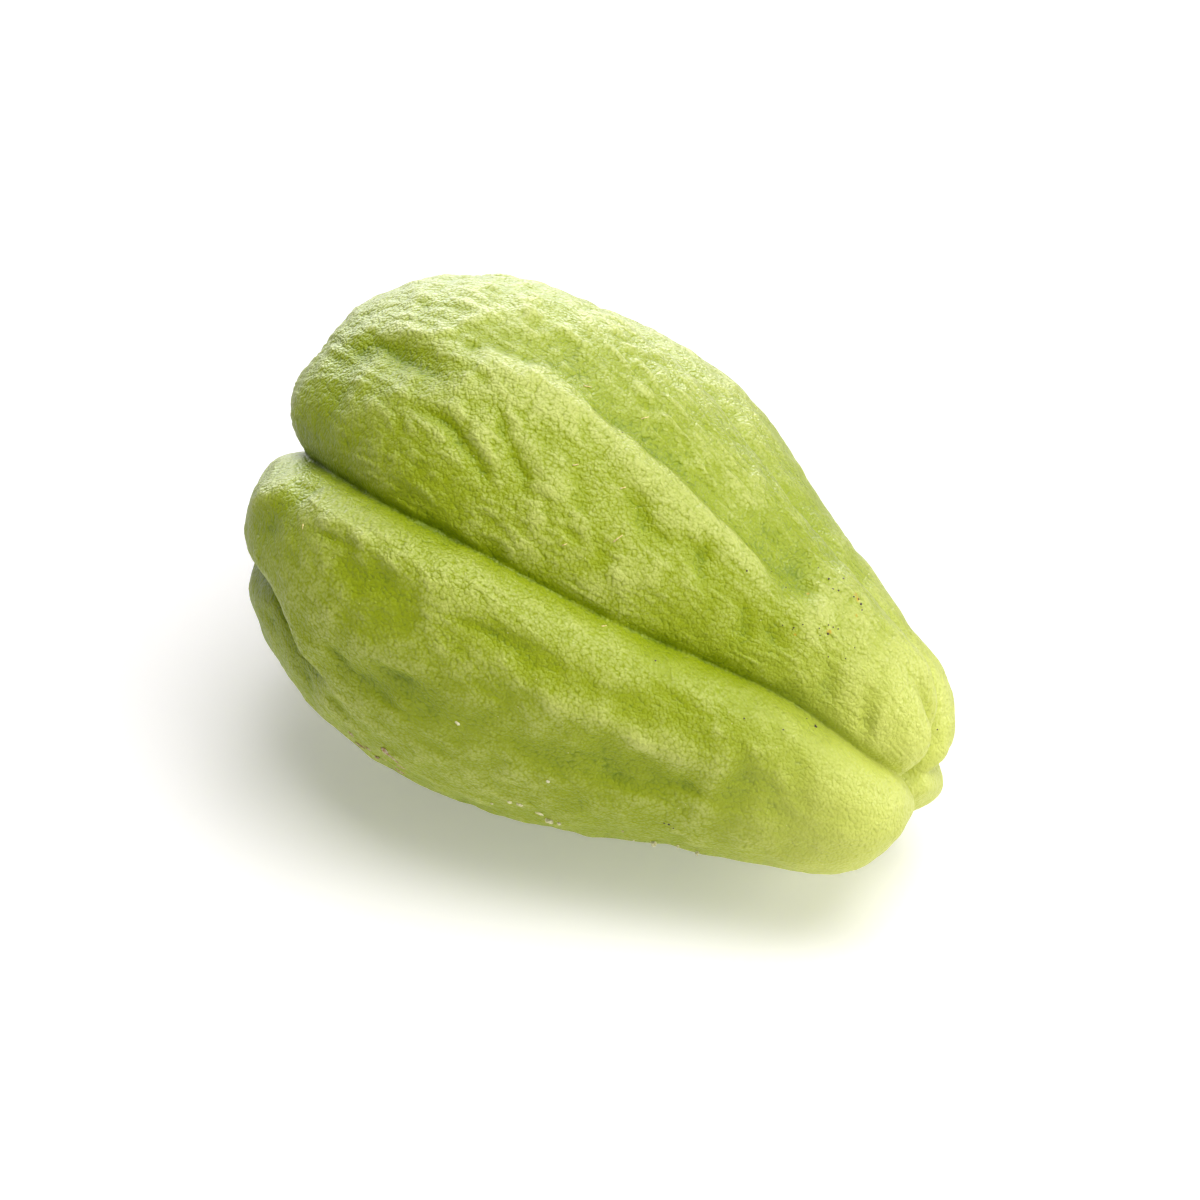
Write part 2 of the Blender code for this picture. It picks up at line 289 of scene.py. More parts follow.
DENTS = [  # (along, angle, depth, half length, half width, turn from the fruit's axis)
    (34, 29.5, 0.9, 4, 1.2, 0),
    (40, 31, 0.9, 4, 1.2, 22),
    (45.5, 34, 0.6, 3.5, 1.1, 28),
    (45, 24, 0.6, 2.4, 1, 48),
    (49, 28, 0.6, 3, 1, 30),
    (53, 31.5, 0.5, 2, 1, 40),
    (43, 5.5, 0.4, 3, 1, 5),
    (25, 19, 0.5, 6, 1, 6),
    (14, 14.5, 0.5, 4.5, 1, 15),
    (30, 10, 0.35, 4, 0.9, 0),
    (36, 16, 0.35, 4, 0.9, 10),
    (20, 8, 0.35, 4, 0.9, 5),
    (55, 14, 0.35, 3, 1, 35),
    (63, 35.5, 0.45, 2.2, 0.9, 30),
    (62.5, 30, 0.45, 2.4, 0.9, 24),
    (59, 35, 0.4, 2, 0.9, 30),
    (69.5, 37, 0.45, 3, 1.1, 35),
    (20, 59.5, 0.9, 1.7, 1.1, -20),
    (31, 64, 0.5, 5, 1.1, -15),
    (37, 67.5, 0.4, 5, 3, -6),
    (38, 86.5, 0.45, 4, 1, 28),
    (48, 82.5, 0.4, 3.5, 0.9, 0),
    (48.5, 91, 0.45, 4.5, 0.9, 5),
    (36, 93, 0.4, 2, 0.8, 20),
    (88, 60, 0.45, 3, 2, 0),
    (86, 90, 0.45, 3.5, 1.6, 13),
    (95, 85, 0.4, 4, 1.4, 14),
    (95.5, 107, 0.5, 1.2, 0.9, -15),
    (70.5, 22.8, 0.9, 3.2, 1.6, 25),
    (75.3, 24.8, 0.6, 2.6, 1.3, 30),
    (80.8, 21, 0.8, 2.2, 1.8, 60),
    (82.4, 25.5, 0.5, 2, 1.2, 40),
    (91.5, 29, 0.6, 3, 1.3, 50),
    (95.8, 26.3, 0.7, 2.3, 1.5, 50),
    (106.5, 26.5, 1.0, 3.2, 1.8, 60),
    (104.5, 31.5, 0.4, 2, 1.2, 40),
    (114, 28, 0.7, 3, 1.4, 60),
    (115.5, 34, 0.6, 3, 1.4, 50),
    (94.5, 3.8, 0.8, 2.8, 1.8, 10),
    (84, 7.8, 0.6, 9, 1.4, -3),
    (62, 7, 0.5, 10, 1.4, -2),
    (18, 61.5, 0.7, 5, 1.3, 5),
    (17, 76, 0.8, 6, 3.5, -30),
    (61, 64.5, 0.4, 8, 2, 5),
    (108, 63.5, 0.7, 4, 2.4, 20),
    (103, 54.5, 0.4, 2, 1.4, 60),
    (118.7, 61.4, 0.45, 1.5, 1.5, 0),
    (62, 77, 0.4, 6, 2.6, -15),
    (102.5, 79, 0.5, 2.5, 6, 0),
    (112, 96, 0.4, 5, 2, -10),
    (58, 97, 0.5, 6, 1.8, 8),
    (21, 93, 1.4, 5, 1.7, 5),
    (40, 101, 0.6, 3, 1.2, 20),
    (33, 104, 0.6, 2, 1.2, 30),
]
KNOBS = [  # (along, angle, height, half length, half width, turn)
    (12, 67, 1.3, 8, 3, -38),
    (63, 67, 0.35, 1.6, 1.3, 0),
    (67, 71.4, 0.3, 1.6, 1.3, 0),
    (73, 72, 0.3, 2, 1.3, 10),
    (86, 74, 0.35, 2.5, 1.5, 20),
    (98, 78, 0.5, 2, 6.5, 0),
    (108, 73.5, 0.45, 3, 1.5, 50),
    (118.7, 61.4, 0.35, 3, 3, 0),
    (44, 29.5, 0.45, 4, 1.4, 30),
    (51, 25.5, 0.35, 3, 1.3, 40),
    (57, 30.5, 0.35, 3, 1.4, 40),
    (64, 32.5, 0.35, 3, 1.3, 30),
    (72, 38.5, 0.4, 2.4, 1.2, 20),
    (12, 72, 0.5, 4, 1.1, -45),
    (28.5, 61.5, 0.45, 3.4, 1, -26),
    (34.5, 60, 0.4, 2, 1, 0),
    (45, 80, 0.35, 4.5, 1.2, 3),
    (33.5, 83, 0.35, 3, 1.3, 30),
    (80, 71, 0.4, 1.8, 1.1, 0),
    (86, 74, 0.4, 2.6, 1.1, 13),
    (95.5, 62.5, 0.45, 1.6, 1.3, 9),
    (102, 64, 0.45, 1.7, 1.5, 17),
]


def relief_noise(points):
    """Smooth noise at each point, within about -1 to 1."""
    return np.array([noise.noise(p) for p in points])


def oriented_form(run, angles, radius, place):
    """1 at a dent's or knob's middle, fading out over its half length and half width."""
    along, angle, _, half_length, half_width, turn = place
    forward = run - run_at(along)
    across = turn_from(angles, angle * DEG) * radius
    c, s = math.cos(turn * DEG), math.sin(turn * DEG)
    lengthwise = (forward * c + across * s) / half_length
    widthwise = (across * c - forward * s) / half_width
    return np.exp(-(lengthwise**2) - widthwise**2)


def skin_relief(along, radius, angles, run, points):
    """How far the lumps, folds, furrow lines, dents and knobs stand over the main form, in mm."""
    height = 0
    for size, tall in LUMPS:
        height = height + tall * relief_noise(points / size)
    ring = FOLD_AT_RADIUS / FOLD_WIDTH
    domain = np.stack([run / FOLD_LENGTH, np.cos(angles) * ring, np.sin(angles) * ring], axis=1)
    swirl = [relief_noise(domain / FOLD_SWIRL_SIZE + shift) for shift in FOLD_SWIRL_SHIFTS]
    domain += FOLD_SWIRL * np.stack(swirl, axis=1)
    downhill = np.stack([0 * run, -np.sin(angles), np.cos(angles)], axis=1)
    lean = downhill * FOLD_LEAN * np.abs(relief_noise(domain))[:, None]
    folds = np.abs(relief_noise(domain + lean)) ** FOLD_ROUNDNESS
    on_top = np.exp(-((turn_from(angles, FOLD_TOP) / FOLD_TOP_SPREAD) ** 2))
    strength = read_stations(FOLD_HEIGHT, along) * (FOLD_ELSEWHERE + (1 - FOLD_ELSEWHERE) * on_top)
    height += strength * (folds * FOLD_RISE - FOLD_CREASE)
    for furrow in FURROWS.values():
        line = groove_form(angles, along, radius, furrow["path"], FURROW_LINE_BANKS, CREASE)
        height -= FURROW_LINE_DEPTH * line
    for dent in DENTS:
        height -= dent[2] * oriented_form(run, angles, radius, dent)
    for knob in KNOBS:
        height += knob[2] * oriented_form(run, angles, radius, knob)
    return height * np.minimum(radius / LOBE_FADE_RADIUS, 1)


# The skin
# One closed skin lies over the whole fruit. It is made from a grid rolled into a sphere, whose
# rings follow the outline and whose columns follow the furrows. It rests as the solid does, with
# the stem end tipped down, on a small flat spot.

SKIN_ROWS = 220
SKIN_COLUMNS = {"front": 112, "under": 66, "low_back": 62, "back": 78, "upper": 122}
COLUMN_CROWDING = 0.45  # how far the columns crowd towards the furrows
SEAM_TOLERANCE = 1e-5
FLOOR_GAP = 0.05 * MM
FINE_SMOOTHING = 10  # in passes
BROAD_SMOOTHING = 160


def column_angles(share_round, along):
    """The angle of each point, with a furrow between one lobe's columns and the next."""
    paths = np.array([read_stations(furrow["path"], along) for furrow in FURROWS.values()]) * DEG
    paths = np.vstack([paths, paths[:1] + 2 * np.pi])
    counts = list(SKIN_COLUMNS.values())
    borders = np.r_[0, np.cumsum(counts)] / sum(counts)
    lobe = np.clip(np.searchsorted(borders, share_round, side="right") - 1, 0, len(counts) - 1)
    across = (share_round - borders[lobe]) / (borders[lobe + 1] - borders[lobe])
    across = across - COLUMN_CROWDING * np.sin(2 * np.pi * across) / (2 * np.pi)
    point = np.arange(len(along))
    return paths[lobe, point] * (1 - across) + paths[lobe + 1, point] * across


def outline_normal(share):
    """The outward direction of the outline, as its parts along and away from the axis."""
    nearby = 1e-4
    before = read_outline(np.maximum(share - nearby, 0))
    after = read_outline(np.minimum(share + nearby, 1))
    tangent = np.array(after) - before
    return np.array([-tangent[1], tangent[0]]) / np.hypot(*tangent)


def on_axis(along, radius, angles):
    """Points at an angle and a radius about the fruit's own axis."""
    return np.stack([along, -radius * np.sin(angles), radius * np.cos(angles)], axis=1)


def lay_down(points, plain_form):
    """Tips the stem end down and centres the points on z = 0, all as the plain form would lie."""
    tip = np.array(Matrix.Rotation(TILT, 3, "Y"))
    tipped = plain_form @ tip.T
    low, high = tipped.min(axis=0), tipped.max(axis=0)
    middle = (low + high) / 2
    shift = np.array([-middle[0], -middle[1], -low[2] - FLAT_SPOT_DEPTH])
    return points @ tip.T + shift


def smoothed(points, edges, passes):
    """The points after moving half way to the middle of their neighbours, in so many passes."""
    a, b = edges.T
    size = len(points)
    count = np.bincount(np.r_[a, b], minlength=size)[:, None]
    for _ in range(passes):
        total = [
            np.bincount(a, points[b, k], size) + np.bincount(b, points[a, k], size)
            for k in range(3)
        ]
        points = (points + np.stack(total, axis=1) / count) / 2
    return points


skin_bm = bmesh.new()
columns = sum(SKIN_COLUMNS.values())
bmesh.ops.create_grid(skin_bm, x_segments=columns, y_segments=SKIN_ROWS, size=0.5)
for v in skin_bm.verts:  # the grid spans -0.5 to 0.5 both ways
    turn, down = math.tau * (v.co.x + 0.5), math.pi * (v.co.y + 0.5)
    v.co = (math.sin(down) * math.cos(turn), math.sin(down) * math.sin(turn), -math.cos(down))
seam = [v for v in skin_bm.verts if v.is_boundary]
bmesh.ops.remove_doubles(skin_bm, verts=seam, dist=SEAM_TOLERANCE)
sphere = np.array([v.co for v in skin_bm.verts])
share_along = 1 - np.arccos(np.clip(sphere[:, 2], -1, 1)) / np.pi
share_round = np.arctan2(sphere[:, 1], sphere[:, 0]) / (2 * np.pi) % 1

along, radius = read_outline(share_along)
angles = column_angles(share_round, along)
run = run_at(along)
out_along, out_round = outline_normal(share_along)
inward = main_depth(along, radius, angles, run, run_at(FRUIT_LENGTH))
plain = on_axis(along - inward * out_along, radius - inward * out_round, angles)
relief = skin_relief(along, radius, angles, run, plain)
lift = relief - inward
detailed = on_axis(along + lift * out_along, radius + lift * out_round, angles)
laid = lay_down(detailed * MM, plain * MM)
laid[:, 2] = np.maximum(laid[:, 2], FLOOR_GAP)
for v, place in zip(skin_bm.verts, laid):
    v.co = place

skin_mesh = bpy.data.meshes.new("skin")
skin_bm.to_mesh(skin_mesh)
skin_bm.free()
skin_mesh.shade_smooth()
skin = bpy.data.objects.new("skin", skin_mesh)
bpy.context.scene.collection.objects.link(skin)
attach(skin, "root")
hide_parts("chayote")

# Attributes for the colours: how far each point stands out from the skin around it, finely as
# fold_shading and broadly as ridge, how far along the fruit it is, and how far up it faces from
# the axis. The first two and the last become painted light and shade in the material.
edges = np.empty(len(skin_mesh.edges) * 2, int)
skin_mesh.edges.foreach_get("vertices", edges)
edges = edges.reshape(-1, 2)
normals = np.empty(len(skin_mesh.vertices) * 3)
skin_mesh.vertices.foreach_get("normal", normals)
normals = normals.reshape(-1, 3)


def keep_on_skin(name, values):
    """Keeps a value for each point of the skin under a name that the material reads."""
    attribute = skin_mesh.attributes.new(name, "FLOAT", "POINT")
    attribute.data.foreach_set("value", values.astype(np.float32))


for name, passes in (("fold_shading", FINE_SMOOTHING), ("ridge", BROAD_SMOOTHING)):
    keep_on_skin(name, ((laid - smoothed(laid, edges, passes)) * normals).sum(axis=1) / MM)
keep_on_skin("along", along / FRUIT_LENGTH)
keep_on_skin("upward", np.cos(angles))


def place_on_skin(at_along, at_angle):
    """The point of the skin nearest to a place, and the outward direction there."""
    apart = np.hypot(detailed[:, 0] - at_along, turn_from(angles, at_angle * DEG) * radius)
    nearest = int(apart.argmin())
    return Vector(laid[nearest]), Vector(normals[nearest])


# The skin's material
# The peel is thin, satin and opaque. Its colour carries painted light and shade: a painted
# highlight on its folds and ridges and along the top, and painted shade, a deeper green, in the
# furrows and hollows and on the flanks. It is also darker towards the blossom end. It is pebbled
# all over, with greener skin between the pebbles, and has a yellower stem end, whose paleness is
# partly painted light, pale pores mixed with painted glints, and a few orange stains.

# The deep and pale greens carry painted shade and painted highlight, besides the skin's mottling
DEEP_GREEN = (0.185, 0.265, 0.0, 1)
MID_GREEN = (0.31, 0.385, 0.002, 1)
PALE_GREEN = (0.54, 0.595, 0.13, 1)
DEEP_TO_MID = (-0.12, 0.45)  # the tones between which one green gives way to the next
MID_TO_PALE = (0.40, 0.95)
TONE = 0.355  # of plain skin, and how much each of the others moves it
# Painted light from above: the skin is paler the more it faces up and greener on the flanks
TOP_LIGHT_TONE = 0.14
PATCH_TONE = 0.65
PEBBLE_TONE = 0.42
BLOSSOM_END_TONE = 0.18
# Painted highlight on ridges and folds, painted shade in furrows, hollows and creases
RIDGE_SHADING_TONE = 0.5
FOLD_SHADING_TONE = 0.45
PEBBLE_SHOULDER = 0.7  # how high on a pebble its tone is that of plain skin
RIDGE_REACH = 1.2  # how many mm a ridge and a fold stand out where they are palest
FOLD_REACH = 0.6
PATCHES_PER_METRE = 55
BLOSSOM_END = (0.05, 0.45)  # where it gives way to plain skin, and plain skin to the stem end
STEM_END = (0.72, 1.0)
# A yellower stem end, also painted paler where the lamp at the right falls on the tip
LIT_STEM_END_GREEN = (0.70, 0.745, 0.15, 1)
STEM_END_STRENGTH = 0.75
# Pale yellow dots, partly the skin's pores and partly painted glints on the pebbles
PORE_AND_GLINT_YELLOW = (0.80, 0.74, 0.34, 1)
PORE_AND_GLINT_SPACING = 2.6 * MM
PORE_AND_GLINT_EDGE = (0.02, 0.055)
PORE_AND_GLINT_STRENGTH = 0.6
STAIN_ORANGE = (0.56, 0.37, 0.01, 1)
STAINS = [  # (along, angle, radius in mm)
    (100.6, -6.6, 0.6),
    (101.6, -5.9, 0.6),
    (102.8, -0.5, 0.35),
    (95, 5.4, 0.35),
    (96.9, 20.7, 0.3),
    (100.8, 12.2, 0.5),
]
STAIN_EDGE = (0.35, 1.1)  # as shares of its radius
STAIN_BREAKS = (0.35, 0.6)  # the fine grain breaks it up
PEBBLE = 0.5 * MM
PEBBLE_HEIGHT = 0.17 * MM
PEBBLE_WANDER = 1.2 * PEBBLE  # how far the pebbles wander from an even spread, and over what length
PEBBLE_WANDER_SIZE = 2 * PEBBLE
PEEL = 1.3 * MM
PEEL_HEIGHT = 0.36 * MM
GRAIN = 0.35 * MM
GRAIN_HEIGHT = 0.04 * MM
SKIN_ROUGHNESS = 0.36
PEBBLE_ROUGHNESS = 0.16
GRAIN_ROUGHNESS = 0.1
SKIN_IOR = 1.45
SKIN_SPECULAR = 0.34
MIX_FACTOR, MIX_FIRST, MIX_SECOND, MIX_COLOUR = 0, 6, 7, 2  # a Mix node's sockets for colours


class Shade:
    """One shader socket. Arithmetic on it adds Math nodes, and node() adds any other node."""

    def __init__(self, tree, socket=None):
        self.tree = tree
        self.socket = socket

    def node(self, kind, settings, sockets, output=0):
        """A new node's output. Its settings come first, then the values or links of its sockets."""
        made = self.tree.nodes.new(kind)
        for name, value in settings.items():
            setattr(made, name, value)
        for name, value in sockets.items():
            if isinstance(value, Shade):
                self.tree.links.new(value.socket, made.inputs[name])
            else:
                made.inputs[name].default_value = value
        return Shade(self.tree, made.outputs[output])

    def math(self, operation, *values):
        return self.node("ShaderNodeMath", {"operation": operation}, dict(enumerate(values)))

    def vector_math(self, operation, *values, output=0):
        settings, sockets = {"operation": operation}, dict(enumerate(values))
        return self.node("ShaderNodeVectorMath", settings, sockets, output)

    def __add__(self, other):
        return self.math("ADD", self, other)

    def __sub__(self, other):
        return self.math("SUBTRACT", self, other)

    def __rsub__(self, other):
        return self.math("SUBTRACT", other, self)

    def __mul__(self, other):
        return self.math("MULTIPLY", self, other)

    def __truediv__(self, other):
        return self.math("DIVIDE", self, other)

    def __pow__(self, other):
        return self.math("POWER", self, other)

    __radd__ = __add__
    __rmul__ = __mul__

    def between(self, low, high):
        """0 below low and 1 above high, smooth between them."""
        settings = {"interpolation_type": "SMOOTHSTEP"}
        sockets = {"Value": self, "From Min": low, "From Max": high}
        return self.node("ShaderNodeMapRange", settings, sockets)

    def mix(self, first, second):
        """The first colour where this is 0 and the second where it is 1."""
        sockets = {MIX_FACTOR: self, MIX_FIRST: first, MIX_SECOND: second}
        return self.node("ShaderNodeMix", {"data_type": "RGBA"}, sockets, MIX_COLOUR)

    def clouds(self, scale, detail, output=0):
        """Soft noise at this place."""
        sockets = {"Vector": self, "Scale": scale, "Detail": detail}
        return self.node("ShaderNodeTexNoise", {}, sockets, output)

    def cells(self, scale):
        """How far this place is from the middle of its cell, as a share of the cell."""
        sockets = {"Vector": self, "Scale": scale}
        return self.node("ShaderNodeTexVoronoi", {}, sockets, "Distance")

    def bump(self):
        """The surface raised by this height in metres."""
        return self.node("ShaderNodeBump", {}, {"Height": self, "Distance": 1.0})

    def attribute(self, name):
        """What the mesh keeps for each point under a name."""
        return self.node("ShaderNodeAttribute", {"attribute_name": name}, {}, "Fac")


def new_material(name):
    """A material with a Principled BSDF, and a Shade to start its maths from."""
    material = bpy.data.materials.new(name)
    material.use_nodes = True
    return material, material.node_tree.nodes["Principled BSDF"], Shade(material.node_tree)


def connect(shader, name, value):
    """Feeds a socket of the shader."""
    value.tree.links.new(value.socket, shader.inputs[name])


skin_material, skin_shader, sheet = new_material("chayote_skin")
at = sheet.node("ShaderNodeTexCoord", {}, {}, "Object")
wander = at.clouds(1 / PEBBLE_WANDER_SIZE, detail=1, output="Color")
pebble = sheet.vector_math("MULTIPLY_ADD", wander, (PEBBLE_WANDER,) * 3, at).cells(1 / PEBBLE)
peel = at.clouds(1 / PEEL, detail=2)
grain = at.clouds(1 / GRAIN, detail=2)
patches = at.clouds(PATCHES_PER_METRE, detail=4)
# Masks for painted light and shade, from how far the skin stands out, finely and broadly
fold_shading = sheet.attribute("fold_shading").between(-FOLD_REACH, FOLD_REACH)
ridge = sheet.attribute("ridge").between(-RIDGE_REACH, RIDGE_REACH)
stem_end = sheet.attribute("along").between(*STEM_END)
blossom_end = 1 - sheet.attribute("along").between(*BLOSSOM_END)

height = 1 - pebble**2
# Painted light from above by how far the skin faces up; the patches are the skin's own mottling
tone = TONE + TOP_LIGHT_TONE * sheet.attribute("upward") + PATCH_TONE * (patches - 0.5)
tone += PEBBLE_TONE * (height - PEBBLE_SHOULDER)
tone -= BLOSSOM_END_TONE * blossom_end
# Painted highlight where the skin stands out and painted shade in furrows, hollows and creases
tone += RIDGE_SHADING_TONE * (ridge - 0.5) + FOLD_SHADING_TONE * (fold_shading - 0.5)
green = tone.between(*DEEP_TO_MID).mix(DEEP_GREEN, MID_GREEN)
green = tone.between(*MID_TO_PALE).mix(green, PALE_GREEN)
# The yellower stem end, partly painted light on the tip
green = (stem_end * STEM_END_STRENGTH).mix(green, LIT_STEM_END_GREEN)

# Pale yellow dots: pores, and painted glints
pores_and_glints = 1 - at.cells(1 / PORE_AND_GLINT_SPACING).between(*PORE_AND_GLINT_EDGE)
green = (pores_and_glints * PORE_AND_GLINT_STRENGTH).mix(green, PORE_AND_GLINT_YELLOW)
stain = 0
for stain_along, stain_angle, stain_radius in STAINS:
    middle = place_on_skin(stain_along, stain_angle)[0]
    from_middle = sheet.vector_math("DISTANCE", at, middle, output="Value")
    stain = stain + (1 - (from_middle / (stain_radius * MM)).between(*STAIN_EDGE))
green = (stain * grain.between(*STAIN_BREAKS)).mix(green, STAIN_ORANGE)

roughness = SKIN_ROUGHNESS + PEBBLE_ROUGHNESS * pebble + GRAIN_ROUGHNESS * (grain - 0.5)
pebbled = height * PEBBLE_HEIGHT + peel * PEEL_HEIGHT + grain * GRAIN_HEIGHT
connect(skin_shader, "Base Color", green)
connect(skin_shader, "Roughness", roughness)
connect(skin_shader, "Normal", pebbled.bump())
skin_shader.inputs["IOR"].default_value = SKIN_IOR
skin_shader.inputs["Specular IOR Level"].default_value = SKIN_SPECULAR
skin_mesh.materials.append(skin_material)

# The stalk scar
# Where the stalk broke away, a corky button is left at the bottom of the pit between the lobes. It
# is dry brown tissue that grew fast to the skin, with a rough rim and a dished middle.

STALK_SCAR_SIZE = (3.3 * MM, 3.0 * MM, 1.1 * MM)  # half its length, width and height
STALK_SCAR_DISH = 0.75  # how deep and how wide its middle is dished, as shares of that
STALK_SCAR_DISH_WIDTH = 0.5
STALK_SCAR_LUMPS = [(2.5, 0.12), (9, 0.05)]  # (how closely they lie, height)
STALK_SCAR_LIFT = 0.3 * MM
STALK_SCAR_DETAIL = 5
CORK_DARK = (0.11, 0.06, 0.025, 1)
CORK_PALE = (0.40, 0.29, 0.15, 1)
CORK_MOTTLE = (0.8 * MM, 0.25 * MM)  # (size, height)
DRY_EDGE = (0.35, 0.65)
DRY_ROUGHNESS = 0.85


def standing_on(place, outward, turn=0):
    """A frame on the skin with Z outward and Y uphill, turned about Z."""
    upright = outward.to_track_quat("Z", "Y").to_matrix().to_4x4()
    return Matrix.Translation(place) @ upright @ Matrix.Rotation(turn * DEG, 4, "Z")


def dry_material(name, dark, pale, mottle_size, mottle_height):
    """Dull dry plant tissue, mottled between two colours."""
    material, shader, sheet = new_material(name)
    at = sheet.node("ShaderNodeTexCoord", {}, {}, "Object")
    mottle = at.clouds(1 / mottle_size, detail=3)
    connect(shader, "Base Color", mottle.between(*DRY_EDGE).mix(dark, pale))
    connect(shader, "Normal", (mottle * mottle_height).bump())
    shader.inputs["Roughness"].default_value = DRY_ROUGHNESS
    return material


def add_piece(name, bm, material):
    """Makes the mesh an object that rides with the fruit."""
    mesh = bpy.data.meshes.new(name)
    bm.to_mesh(mesh)
    bm.free()
    mesh.shade_smooth()
    mesh.materials.append(material)
    piece = bpy.data.objects.new(name, mesh)
    bpy.context.scene.collection.objects.link(piece)
    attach(piece, "root")


scar_bm = bmesh.new()
bmesh.ops.create_icosphere(scar_bm, subdivisions=STALK_SCAR_DETAIL, radius=1)
for v in scar_bm.verts:
    out = math.hypot(v.co.x, v.co.y) / STALK_SCAR_DISH_WIDTH
    v.co.z -= STALK_SCAR_DISH * math.exp(-(out**2)) * (v.co.z > 0)
    v.co *= sum((tall * noise.noise(v.co * close) for close, tall in STALK_SCAR_LUMPS), start=1)
stem_pole = int(share_along.argmax())
pit_bottom, pit_outward = Vector(laid[stem_pole]), Vector(normals[stem_pole])
scar_frame = standing_on(pit_bottom + pit_outward * STALK_SCAR_LIFT, pit_outward)
scar_frame = scar_frame @ Matrix.Diagonal((*STALK_SCAR_SIZE, 1))
bmesh.ops.transform(scar_bm, matrix=scar_frame, verts=scar_bm.verts)
add_piece("stalk_scar", scar_bm, dry_material("scar_cork", CORK_DARK, CORK_PALE, *CORK_MOTTLE))

# The stubs, scabs and specks
# Small dry things sit on the skin: pale stubs of shed prickles and corky scabs along the low front
# edge, bits of straw on the top, and grains of soil towards the stem end. The stubs and scabs grew
# on the skin, the rest is stuck to it, and all are sunk in it a little.

STUBS = [  # (along, angle, half the (length, width, height) in mm, turn)
    (60.5, 87.3, (0.45, 0.25, 0.22), -35),
    (70.4, 107.6, (0.4, 0.3, 0.25), 0),
    (72.3, 107.5, (0.55, 0.3, 0.25), -15),
    (75.5, 96.4, (0.3, 0.3, 0.16), 0),
    (76.4, 113.9, (0.65, 0.55, 0.6), 0),
    (78.0, 113.5, (0.35, 0.3, 0.3), 0),
    (74.9, 111, (0.7, 0.35, 0.16), -20),
    (67.8, 112.3, (0.25, 0.2, 0.2), 0),
    (91.5, 117.2, (0.5, 0.5, 0.85), 0),
    (87.3, 110.9, (0.2, 0.2, 0.25), 0),
    (95.3, 115.6, (0.25, 0.25, 0.4), 0),
    (98.3, 117.6, (0.3, 0.3, 0.6), 0),
    (89, 117.7, (0.15, 0.15, 0.2), 0),
    (64, 205, (0.4, 0.35, 0.35), 0),
    (81, 222, (0.3, 0.3, 0.4), 0),
    (70, 262, (0.35, 0.3, 0.3), 0),
]
SCABS = [  # the same
    (42.7, 110.2, (0.8, 0.3, 0.12), -50),
    (44, 113.5, (0.9, 0.35, 0.16), -45),
    (46, 112.5, (0.7, 0.3, 0.16), -40),
    (47.4, 114.7, (0.4, 0.3, 0.25), -30),
    (48.7, 113.6, (0.7, 0.3, 0.16), -30),
    (49.4, 106.8, (0.9, 0.45, 0.1), -60),
    (50.1, 108, (1.1, 0.4, 0.12), -50),
    (51.4, 109.1, (0.8, 0.35, 0.12), -45),
    (51.6, 112.5, (0.9, 0.45, 0.12), -30),
    (51.3, 116.5, (1.0, 0.4, 0.2), -45),
    (52, 150, (1.6, 0.9, 0.15), 20),
    (66, 236, (1.3, 0.7, 0.14), 70),
]
STRAWS = [  # (along, angle, length in mm, turn)
    (51, 3, 1.3, -55),
    (60.7, 0.8, 1.3, 0),
    (65.5, 21, 0.9, 5),
    (58, 23, 0.9, 0),
    (68.8, 31.3, 1.7, 35),
    (62.4, 38.7, 0.8, 25),
    (73, 51.5, 0.9, -40),
    (24.5, 66.7, 0.8, -60),
    (47, 250, 1.4, 20),
    (88, 282, 1.1, -30),
]
SOIL = [  # (along, angle, radius in mm)
    (97.8, -2, 0.2), (96.5, -3.8, 0.17), (98.5, -3, 0.16), (93.9, -5.5, 0.1), (99.6, -14, 0.13),
    (100.4, -5.7, 0.14), (101.2, -6, 0.16), (102.2, -5.8, 0.22), (102.8, -4.2, 0.13),
    (101.9, -17.3, 0.12), (100.8, 13.1, 0.2), (100.2, 11.1, 0.13), (100.8, 10.1, 0.14),
    (99.5, 14.1, 0.1), (100.1, 16, 0.1), (97.6, 17, 0.12), (96.3, 19.8, 0.15), (96.3, 20.7, 0.1),
    (91.7, 10.2, 0.12), (105, 9.8, 0.1), (103.1, 19.6, 0.11), (104.9, 15.7, 0.1), (95, 21.6, 0.1),
    (86.3, 16.8, 0.14), (89.1, 9.2, 0.1), (97.8, -8.8, 0.16), (101.5, 9.1, 0.12), (60, 9.2, 0.12),
    (117.4, 15.7, 0.13), (106.2, 46.4, 0.28), (82.5, 52.7, 0.16), (97.4, 55.6, 0.14),
    (103, 54, 0.14), (104.4, 46, 0.14), (119.1, -21.1, 0.14), (119.8, -41.7, 0.14),
    (117.5, 64, 0.12), (93.2, 101.4, 0.16), (93.8, 101.7, 0.2), (94.5, 102, 0.13),
    (72, 205, 0.14), (74, 209, 0.1), (55, 190, 0.16), (104, 246, 0.15), (96, 300, 0.14),
    (38, 276, 0.13),
]
CRUMB_DETAIL = 3
CRUMB_UNEVENNESS = 0.45
CRUMB_LUMPS = 1.6  # how closely the lumps of a crumb lie
SOIL_DETAIL = 2
SOIL_UNEVENNESS = 0.7
STRAW_RADIUS = 0.12 * MM
STRAW_TIP_RADIUS = STRAW_RADIUS / 2
STRAW_SIDES = 8
STRAW_SINK = 0.09 * MM
STUB_DARK = (0.68, 0.64, 0.32, 1)
STUB_PALE = (0.90, 0.88, 0.60, 1)
STUB_MOTTLE = (0.3 * MM, 0.05 * MM)
SCAB_DARK = (0.34, 0.17, 0.06, 1)
SCAB_PALE = (0.62, 0.55, 0.38, 1)
SCAB_MOTTLE = (0.4 * MM, 0.08 * MM)
STRAW_DARK = (0.72, 0.54, 0.14, 1)
STRAW_PALE = (0.95, 0.84, 0.42, 1)
STRAW_MOTTLE = (0.3 * MM, 0.02 * MM)
SOIL_DARK = (0.02, 0.01, 0.012, 1)
